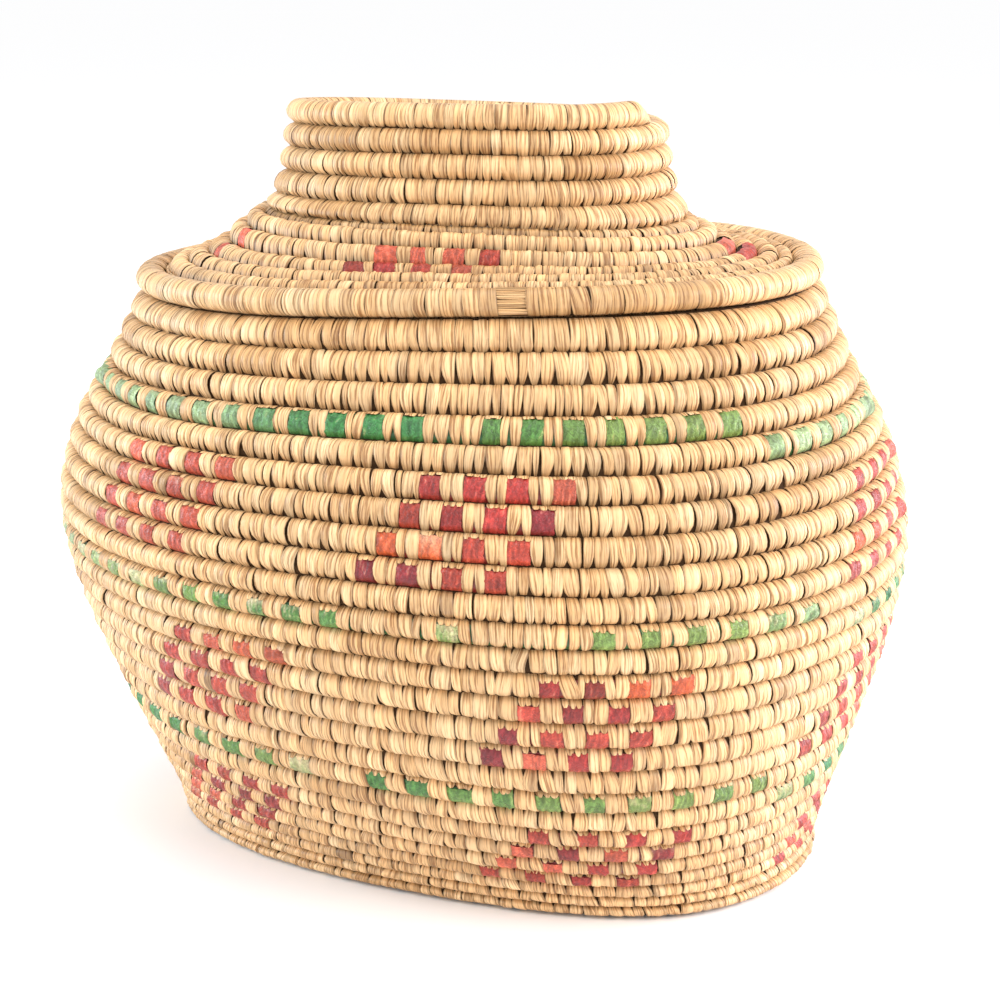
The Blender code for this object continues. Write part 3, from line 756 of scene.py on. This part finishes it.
def core(name, coil, columns, body, capped=False, node=None):
    """The coil's bundle of straw under its stitches: one closed ridged solid that stands for its node. Its
    dark brown is painted shade, seen in the gaps between stitches.
    """
    rows, psi = np.broadcast_arrays(np.array(coil.rows, float)[:, None], np.radians(CORE_PSI))
    rows, psi = rows.ravel()[None], psi.ravel()[None]
    share = 0.5 + 0.5 * np.sin(psi)
    angles = coil.first_angle + np.arange(columns + 1)[:, None] * TURN / columns
    outer = coil.point(rows, share, psi, angles, 1.0, CORE_SHRINK)
    inner = coil.point(rows, share, psi, angles, -1.0, CORE_SHRINK)
    ring = np.concatenate([outer, inner[:, ::-1]], axis=1)
    count = ring.shape[1]
    mesh = bmesh.new()
    verts = [[mesh.verts.new(p + SHIFT) for p in column] for column in ring]
    for this, following in zip(verts, verts[1:]):
        for i in range(count - 1 if capped else count):
            j = (i + 1) % count
            mesh.faces.new((this[i], following[i], following[j], this[j]))
    if capped:
        mesh.faces.new([column[0] for column in reversed(verts[:-1])])
        mesh.faces.new([column[-1] for column in verts[:-1]])
    bmesh.ops.remove_doubles(mesh, verts=mesh.verts, dist=1e-6)
    bmesh.ops.dissolve_degenerate(mesh, edges=mesh.edges, dist=1e-6)
    bmesh.ops.recalc_face_normals(mesh, faces=mesh.faces)
    data = bpy.data.meshes.new(f"{name}_core")
    mesh.to_mesh(data)
    mesh.free()
    data.materials.append(CORE_PAINTED_SHADE)
    data.shade_smooth()
    add_object(f"{name}_core", data, body, [node or f"{name}_coil"])


def node_tree(name):
    material = bpy.data.materials.new(name)
    material.use_nodes = True
    tree = material.node_tree
    return material, tree.nodes, tree.links, tree.nodes["Principled BSDF"]


def set_inputs(node, values):
    for key, value in values.items():
        node.inputs[key].default_value = value


def ramp(nodes, low, high, low_at=0.3, high_at=0.7):
    made = nodes.new("ShaderNodeValToRGB")
    made.color_ramp.elements[0].position = low_at
    made.color_ramp.elements[0].color = (*low, 1)
    made.color_ramp.elements[1].position = high_at
    made.color_ramp.elements[1].color = (*high, 1)
    return made


def fibre_material(name, stretch, noise, tones, span, bump, roughness):
    """The tint of each point under a pattern: the fibres of dry grass, or the creases of gut."""
    material, nodes, links, shader = node_tree(name)
    place = nodes.new("ShaderNodeUVMap")
    place.uv_map = "fibre"
    stretched = nodes.new("ShaderNodeMapping")
    stretched.inputs["Scale"].default_value = (1.0, stretch, 1.0)
    links.new(place.outputs["UV"], stretched.inputs["Vector"])
    pattern = nodes.new("ShaderNodeTexNoise")
    pattern.noise_dimensions = "2D"
    set_inputs(pattern, noise)
    links.new(stretched.outputs["Vector"], pattern.inputs["Vector"])
    shades = ramp(nodes, *tones, *span)
    links.new(pattern.outputs["Fac"], shades.inputs["Fac"])
    tint = nodes.new("ShaderNodeVertexColor")
    tint.layer_name = "tint"
    product = nodes.new("ShaderNodeMix")
    product.data_type = "RGBA"
    product.blend_type = "MULTIPLY"
    product.inputs["Factor"].default_value = 1.0
    links.new(tint.outputs["Color"], product.inputs["A"])
    links.new(shades.outputs["Color"], product.inputs["B"])
    links.new(product.outputs["Result"], shader.inputs["Base Color"])
    relief = nodes.new("ShaderNodeBump")
    set_inputs(relief, bump)
    links.new(pattern.outputs["Fac"], relief.inputs["Height"])
    links.new(relief.outputs["Normal"], shader.inputs["Normal"])
    set_inputs(shader, {"Roughness": roughness, "Specular IOR Level": 0.5})
    return material


def core_material(name, colour):
    material, nodes, links, shader = node_tree(name)
    place = nodes.new("ShaderNodeTexCoord")
    noise = nodes.new("ShaderNodeTexNoise")
    noise.inputs["Scale"].default_value = 900.0
    links.new(place.outputs["Object"], noise.inputs["Vector"])
    tones = ramp(nodes, tuple(0.6 * c for c in colour), colour)
    links.new(noise.outputs["Fac"], tones.inputs["Fac"])
    links.new(tones.outputs["Color"], shader.inputs["Base Color"])
    set_inputs(shader, {"Roughness": 0.8, "Specular IOR Level": 0.15})
    return material


def bundle(pile, coil, start, end, psi_range, count, rng):
    """Bare straws of the bundle, side by side along the coil."""
    along = 6
    run = np.linspace(start - BUNDLE_OVERLAP, end + BUNDLE_OVERLAP, along)
    row, angle = coil.split(coil.wound_at(run))
    middle = np.linspace(*psi_range, count) + rng.normal(0, 1.5, count)
    half = 0.62 * (psi_range[1] - psi_range[0]) / count
    across_at = np.linspace(-1, 1, 4)
    lean = rng.normal(0, 2.0, (count, 1, 1)) * np.linspace(-1, 1, along)[:, None]
    psi = np.radians(middle[:, None, None] + half * across_at + lean)
    raised = rng.normal(-0.35, 0.15, (count, 1, 1)) * MM - 0.3 * MM * across_at**2
    share = 0.5 + 0.5 * np.sin(psi)
    points = coil.point(row[None, :, None], share, psi, angle[None, :, None], 1.0, 0.0, raised)
    colour = straw_tints(rng, count, middle * MM)[:, None, None, :] * rng.uniform(0.7, 1.15, (count, 1, 1, 1))
    fibre = across_at + 9.0 * np.arange(count)[:, None, None]
    uv = np.stack(np.broadcast_arrays(fibre, np.arange(float(along))[:, None]), axis=-1)
    pile.add(points, uv, colour)


# Widths of stitches at places along a coil

def even_width(run):
    return np.full_like(run, STITCH_WIDTH)


def wrap_width(run):
    """The wraps of the lid's rim are wide."""
    return np.full_like(run, WRAP_WIDTH)


def wall_width(run):
    """Stitches are a little wider near the foot."""
    row = np.interp(run, WALL_COIL.run, WALL_COIL.wound) / TURN
    return STITCH_WIDTH * mix(FOOT_STITCH_WIDENING, 1.0, np.clip((row - 2) / 18, 0, 1))


def band_colours(rng, name, angle):
    """Greens of a band, which pass from one dye to the next along it."""
    stops, dyes = zip(*BAND_DYES[name])
    colours = np.stack([np.interp(angle, stops, channel) for channel in zip(*dyes)], axis=-1)
    other = np.array((GREEN, GREEN_LIGHT, GREEN_DEEP))[rng.integers(3, size=len(angle))]
    colours = mix(colours, other, rng.uniform(0.0, 0.3, (len(angle), 1)))
    return np.clip(colours * rng.normal(1, 0.10, (len(angle), 1)), 0, 1)


def green_bands(rng):
    """The three bands. Returns the stretches of the wall's coil that their squares take."""
    blocks = []
    for name, band in BANDS.items():
        row, angle = band["start"]
        start = WALL_COIL.run_at(row, angle)
        end = WALL_COIL.run_at(row + 1, angle + BAND_TURN - TURN)
        middles = np.arange(start + band["first"], end - band["width"] / 2, band["pitch"])
        if "tail" in band:
            tail_angle, tail_pitch = band["tail"]
            tail = WALL_COIL.run_at(row + 1, tail_angle)
            tail_middles = np.arange(tail, end - band["width"] / 2, tail_pitch)
            middles = np.concatenate([middles[middles < tail - band["pitch"] / 2], tail_middles])
        angles = WALL_COIL.split(WALL_COIL.wound_at(middles))[1]
        for first, last in band["bare"]:
            shown = (angles < first) | (angles > last)
            middles, angles = middles[shown], angles[shown]
        widths = band["width"] * rng.normal(1, 0.08, len(middles))
        loose = band.get("loose", ())
        flaps = [(int(np.argmin(np.abs(angles - place))), reach * MM) for place, reach in loose]
        colours = band_colours(rng, name, angles)
        pile = Pile()
        top = square_tops(middles)
        squares(pile, WALL_COIL, middles, widths, colours, rng, top, worn=band["worn"], flaps=flaps)
        ribbon(pile, start, end, GREEN_DEEP)
        pile.build(f"gut_{name}_band", GUT, "basket", "green_gut", [f"gut_band_{name}"])
        blocks += list(zip(middles - widths / 2, middles + widths / 2))
    return blocks


def red_motifs(rng):
    """The three rings of motifs. Returns the stretches of the wall's coil that their squares take."""
    blocks = []
    for ring, places in MOTIFS.items():
        pile = Pile()
        nodes = []
        for number, (row, angle, pitch, faded) in enumerate(places, start=1):
            for strip in range(MOTIF_STRIPS):
                middle = WALL_COIL.run_at(row - strip, angle - strip * MOTIF_SLANTS[ring])
                middles = square_places(middle, pitch * MM) + rng.normal(0, 0.2 * MM, MOTIF_SQUARES)
                widths = SQUARE_WIDTH * rng.normal(1, 0.07, MOTIF_SQUARES)
                loose = (ring, number, strip % 2) == LOOSE_MOTIF
                flaps = [(MOTIF_SQUARES - 1, LOOSE_MOTIF_REACH)] if loose else []
                colours = red_square_colours(rng, STRIP_DYES[ring][strip], MOTIF_SQUARES)
                colours = mix(colours, np.array(SALMON), faded)
                squares(pile, WALL_COIL, middles, widths, colours, rng, square_tops(middles), flaps=flaps)
                ribbon(pile, middles[0] - widths[0] / 2, middles[-1] + widths[-1] / 2, CRIMSON)
                blocks += list(zip(middles - widths / 2, middles + widths / 2))
                nodes.append(f"gut_{ring}_{number}_strip_{strip + 1}")
        pile.build(f"gut_{ring}_motifs", GUT, "basket", "red_gut", nodes if ring != "lower" else ())
    return blocks


def mouth_row(middles):
    """Which stitches wrap the edge of the mouth."""
    low, high = wall_grooves(*WALL_COIL.split(WALL_COIL.wound_at(middles)))
    return (high > BODY_ROWS - THIN_ROW) & (high - low > THIN_ROW)


def stitch_ends(blocks, rng):
    """The ends of three stitches above each square of gut."""
    tabs = Pile()
    ends = np.array([(start + end) / 2 for start, end in blocks])
    sizes = np.array([end - start for start, end in blocks])
    for offset in (-0.33, 0.0, 0.33):
        place = ends + offset * sizes + rng.normal(0, 0.15 * MM, len(ends))
        wide = sizes * rng.uniform(0.3, 0.42, len(ends))
        low = low_places(place)
        for chosen, first in ((low, LOW_TAB_START), (~low, TAB_START)):
            stitches(
                tabs, WALL_COIL, place[chosen], wide[chosen], rng, 0.3, psi_range=(first, 80), along=6,
                across=5, tip=0.03, lift=TAB_LIFT,
            )
    tabs.build("wall_stitch_ends", STRAW_SEWN, "basket", "straw")


def basket_wall():
    """Gut first, because it decides where the stitches go."""
    rng = np.random.default_rng(11)
    blocks = green_bands(rng) + red_motifs(rng)
    middles, widths = fill(WALL_COIL, blocks, wall_width, rng)
    row = WALL_COIL.wound_at(middles) / TURN
    style = np.clip((15 - row) / 7, 0, 1)
    spots = [(WALL_COIL.run_at(place_row, angle), *rest) for place_row, angle, *rest in BROWN_PLACES]
    top = mouth_row(middles)
    for name, first, last in (("foot", -1, 8), ("belly", 8, 17), ("shoulder", 17, 27)):
        chosen = (row >= first) & (row < last) & ~top
        pile = Pile()
        stitches(pile, WALL_COIL, middles[chosen], widths[chosen], rng, style[chosen], spots=spots)
        if name == "shoulder":
            stitches(pile, WALL_COIL, middles[top], widths[top], rng, 0.1, psi_range=(-84, 264), along=18)
        pile.build(f"wall_{name}_stitches", STRAW_SEWN, "basket", "straw")
    stitch_ends(blocks, rng)
    inner = Pile()
    middles, widths = fill(WALL_COIL, [], wall_width, rng)
    below = ~mouth_row(middles)
    stitches(inner, WALL_COIL, middles[below], widths[below], rng, 0.4, side=-1.0, along=6, across=3)
    inner.build("wall_inner_stitches", STRAW_SEWN, "basket", "straw")
    core("wall", WALL_COIL, 160, "basket")


def hidden_coil(name, coil, columns, body, style, seed, capped=False):
    """A coil that is seldom seen, sewn on both faces."""
    rng = np.random.default_rng(seed)
    pile = Pile()
    for side in (1.0, -1.0):
        middles, widths = fill(coil, [], even_width, rng)
        stitches(pile, coil, middles, widths, rng, style, side=side, along=6, across=4)
    pile.build(f"{name}_stitches", STRAW_SEWN, body, "straw_hidden")
    core(name, coil, columns, body, capped)


def lid():
    """The disc with its shoulder, and the squares on it."""
    rng = np.random.default_rng(13)
    gut, blocks = Pile(), []
    for row, angle, spacing, count, width in LID_MOTIFS:
        places = angle + (np.arange(count) - (count - 1) / 2) * spacing
        middles = DISC_COIL.run_at(row, places)
        widths = width * rng.normal(1, 0.07, count)
        colours = red_square_colours(rng, LID_DYES[row], count)
        squares(gut, DISC_COIL, middles, widths, colours, rng, flip=True)
        blocks += list(zip(middles - widths / 2, middles + widths / 2))
    gut.build("gut_lid_motifs", GUT, "lid", "red_gut")
    pile = Pile()
    middles, widths = fill(DISC_COIL, blocks, even_width, rng)
    stitches(pile, DISC_COIL, middles, widths, rng, 0.25, flip=True, slant=0.0, loose=0.6)
    pile.build("lid_stitches", STRAW_SEWN, "lid", "straw")
    under = Pile()
    middles, widths = fill(DISC_COIL, [], even_width, rng)
    stitches(under, DISC_COIL, middles, widths, rng, 0.4, side=-1.0, flip=True, along=6, across=3)
    under.build("lid_underside_stitches", STRAW_SEWN, "lid", "straw")
    core("lid", DISC_COIL, 160, "lid", capped=True, node="lid_disc_coil")


def lid_rim():
    """One thick wrapped coil, whose bundle lies bare at one place."""
    rng = np.random.default_rng(14)
    pile = Pile()
    bare = [float(RIM_COIL.run_at(0, angle)) for angle in BARE_RIM]
    middles, widths = fill(RIM_COIL, [bare], wrap_width, rng)
    spots = [(bare[0], 5.0 * MM, 0.5), (bare[1], 3.0 * MM, 0.25)]
    stitches(
        pile, RIM_COIL, middles, widths, rng, 0.3, psi_range=(-95, 165), along=14, across=9, tip=0.0,
        slant=0.0, loose=0.5, spots=spots,
    )
    bundle(pile, RIM_COIL, *bare, (-70, 140), 26, rng)
    pile.build("lid_rim_stitches", STRAW_SEWN, "lid", "straw")
    core("lid_rim", RIM_COIL, 160, "lid")


def collar():
    """The collar's top row is wrapped all round, because its top is open."""
    rng = np.random.default_rng(16)
    pile = Pile()
    middles, widths = fill(COLLAR_COIL, [], even_width, rng)
    top = COLLAR_COIL.wound_at(middles) >= TURN * (COLLAR_ROWS - 2)
    stitches(pile, COLLAR_COIL, middles[~top], widths[~top], rng, 0.1, slant=0.0, loose=0.6)
    stitches(pile, COLLAR_COIL, middles[~top], widths[~top], rng, 0.3, side=-1.0, along=6, across=4)
    stitches(
        pile, COLLAR_COIL, middles[top], widths[top], rng, 0.1, psi_range=(-80, 262), along=18, tip=0.05,
        slant=0.0, loose=0.6,
    )
    pile.build("collar_stitches", STRAW_SEWN, "lid", "straw")
    core("collar", COLLAR_COIL, 140, "lid")


def floor():
    half = FLOOR_SIZE / 2
    corners = [(-half, -half, 0), (half, -half, 0), (half, half, 0), (-half, half, 0)]
    mesh = bpy.data.meshes.new("floor")
    mesh.from_pydata(corners, [], [(0, 1, 2, 3)])
    material, _, _, shader = node_tree("floor_paper")
    set_inputs(shader, {"Base Color": PAPER, "Roughness": 0.9, "Specular IOR Level": 0.0})
    mesh.materials.append(material)
    made = linked("floor", mesh)
    made.location.z = -FLOOR_GAP


def studio_world():
    """Even white light, while the camera sees the paper's colour."""
    world = bpy.data.worlds.new("studio")
    world.use_nodes = True
    bpy.context.scene.world = world
    nodes, links = world.node_tree.nodes, world.node_tree.links
    background = nodes["Background"]
    set_inputs(background, {"Color": (1.0, 1.0, 1.0, 1), "Strength": 1.0})
    seen = nodes.new("ShaderNodeBackground")
    set_inputs(seen, {"Color": PAPER, "Strength": 1.0})
    rays = nodes.new("ShaderNodeLightPath")
    choose = nodes.new("ShaderNodeMixShader")
    links.new(rays.outputs["Is Camera Ray"], choose.inputs["Fac"])
    links.new(background.outputs["Background"], choose.inputs[1])
    links.new(seen.outputs["Background"], choose.inputs[2])
    links.new(choose.outputs["Shader"], nodes["World Output"].inputs["Surface"])


def lamp(name, place, size, power, colour=(1.0, 1.0, 1.0)):
    data = bpy.data.lights.new(name, "AREA")
    data.shape = "DISK"
    data.size = size
    data.energy = power
    data.color = colour
    light = linked(name, data)
    light.location = place
    light.rotation_euler = (Vector(LAMP_TARGET) - light.location).to_track_quat("-Z", "Y").to_euler()


def photo_camera():
    data = bpy.data.cameras.new("photo")
    data.sensor_width = 36.0
    data.lens = CAMERA_LENS
    camera = linked("photo", data)
    target = Vector(CAMERA_TARGET) + Vector(SHIFT)
    up = math.radians(CAMERA_ELEVATION)
    camera.location = target + CAMERA_DISTANCE * Vector((0, -math.cos(up), math.sin(up)))
    camera.rotation_euler = (target - camera.location).to_track_quat("-Z", "Y").to_euler()
    bpy.context.scene.camera = camera


def stage():
    """A plain pale floor, soft light and the photo's camera."""
    floor()
    studio_world()
    lamp("key", (0.75, -0.75, 0.85), 0.6, 8.5)
    lamp("top", (0.0, 0.1, 1.3), 0.9, 4.0)
    lamp("left", (-1.1, 0.1, 0.35), 0.7, 9.5, (0.86, 1.0, 1.12))
    lamp("right", (1.1, 0.1, 0.30), 0.7, 11.0, (0.96, 0.97, 1.16))
    photo_camera()
    bpy.context.scene.view_settings.view_transform = "Standard"


def centre_shift():
    """How far the solids were moved to centre them, read from the wall's box in the frame."""
    low, high = (np.array(corner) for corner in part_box("wall_coil"))
    rows, angles = np.meshgrid(np.arange(0, BODY_ROWS + 0.1, 0.5), np.arange(0, 360, 9.0))
    points = wall_place(rows, CREST * (rows % 1 > 0), angles).reshape(-1, 3)
    middle = (points.min(0) + points.max(0)) / 2
    shift = (low + high) / 2 - middle
    shift[2] = 0
    return shift


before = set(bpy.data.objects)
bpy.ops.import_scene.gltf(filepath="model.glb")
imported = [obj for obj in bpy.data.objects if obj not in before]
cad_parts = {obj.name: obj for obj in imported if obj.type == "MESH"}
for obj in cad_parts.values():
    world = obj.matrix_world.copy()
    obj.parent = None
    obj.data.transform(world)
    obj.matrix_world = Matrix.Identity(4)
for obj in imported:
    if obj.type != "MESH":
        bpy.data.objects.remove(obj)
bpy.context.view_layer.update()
SHIFT = centre_shift()
STRAW_SEWN = fibre_material(
    "straw_sewn", 0.05, {"Scale": 1.7, "Detail": 3.0, "Roughness": 0.62},
    ((0.46, 0.35, 0.25), (1.09, 1.08, 1.06)), (0.35, 0.55), {"Strength": 0.6, "Distance": 0.35 * MM}, 0.45,
)
GUT = fibre_material(
    "dyed_gut", 1.0, {"Scale": 0.9, "Detail": 4.0, "Distortion": 1.2},
    ((0.72, 0.68, 0.68), (1.15, 1.18, 1.18)), (0.35, 0.68), {"Strength": 0.9, "Distance": 0.4 * MM}, 0.34,
)
# The bundle's dark brown is painted shade for the gaps between stitches, not the straw's own colour
CORE_PAINTED_SHADE = core_material("straw_core_painted_shade", (0.065, 0.032, 0.013))
stage()
basket_wall()
hidden_coil("base", BASE_COIL, 120, "basket", 0.5, seed=12, capped=True)
lid()
lid_rim()
hidden_coil("lid_flange", FLANGE_COIL, 160, "lid", 0.4, seed=15)
collar()
bpy.context.view_layer.update()
